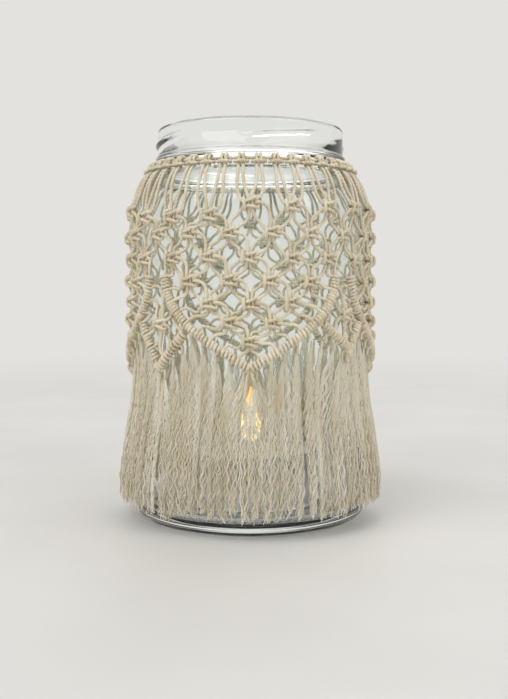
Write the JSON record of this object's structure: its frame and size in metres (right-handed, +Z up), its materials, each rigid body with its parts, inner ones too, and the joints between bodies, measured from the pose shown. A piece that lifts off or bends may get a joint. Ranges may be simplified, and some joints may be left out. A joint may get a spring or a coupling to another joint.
{
  "type": "jar lantern",
  "caption": "Clear glass jar lantern in a net of knotted cotton cord with heart-shaped borders and a combed-out fringe, with a tealight inside that lifts out.",
  "frame": {"origin": "centre of the ring that the jar stands on, at its lowest plane", "axes": "+Z up through the jar's mouth; -Y is the front, with a heart panel facing it; +X to the right of someone who looks at the front"},
  "size_m": [0.114, 0.114, 0.166],
  "materials": {
    "clear_glass": "pressed soda-lime glass, fire polished",
    "cotton_cord": "three-ply twisted unbleached cotton",
    "combed_cotton": "combed-out unbleached cotton yarn, crimped",
    "cup_aluminium": "drawn foil cup, satin",
    "wax": "poured paraffin wax",
    "wick_cotton": "braided cotton, charred at the tip",
    "holder_steel": "tinned sheet steel"
  },
  "bodies": {
    "lantern": {"glass_jar": "clear_glass", "holding_cord": "cotton_cord", "larks_head_knots": "cotton_cord", "shoulder_cords": "cotton_cord", "square_knots_row_1": "cotton_cord", "square_knots_row_2": "cotton_cord", "square_knots_row_3": "cotton_cord", "square_knots_row_4": "cotton_cord", "square_knots_row_5": "cotton_cord", "square_knots_row_6": "cotton_cord", "square_knots_row_7": "cotton_cord", "link_knots": "cotton_cord", "net_cords_row_1": "cotton_cord", "net_cords_row_2": "cotton_cord", "net_cords_row_3": "cotton_cord", "net_cords_row_4": "cotton_cord", "net_cords_row_5": "cotton_cord", "net_cords_row_6": "cotton_cord", "border_feed_cords": "cotton_cord", "link_knot_cords": "cotton_cord", "heart_border_front": "cotton_cord", "heart_border_right": "cotton_cord", "heart_border_back": "cotton_cord", "heart_border_left": "cotton_cord", "small_borders": "cotton_cord", "fringe_front": "combed_cotton", "fringe_right": "combed_cotton", "fringe_back": "combed_cotton", "fringe_left": "combed_cotton"},
    "candle": {"candle_cup": "cup_aluminium", "candle_wax": "wax", "candle_wick": "wick_cotton", "wick_holder": "holder_steel"}
  },
  "joints": [
    {"name": "candle_lift", "type": "slide", "parent": "lantern", "child": "candle", "axis": [0, 0, 1], "range_m": [0, 0.18]}
  ]
}
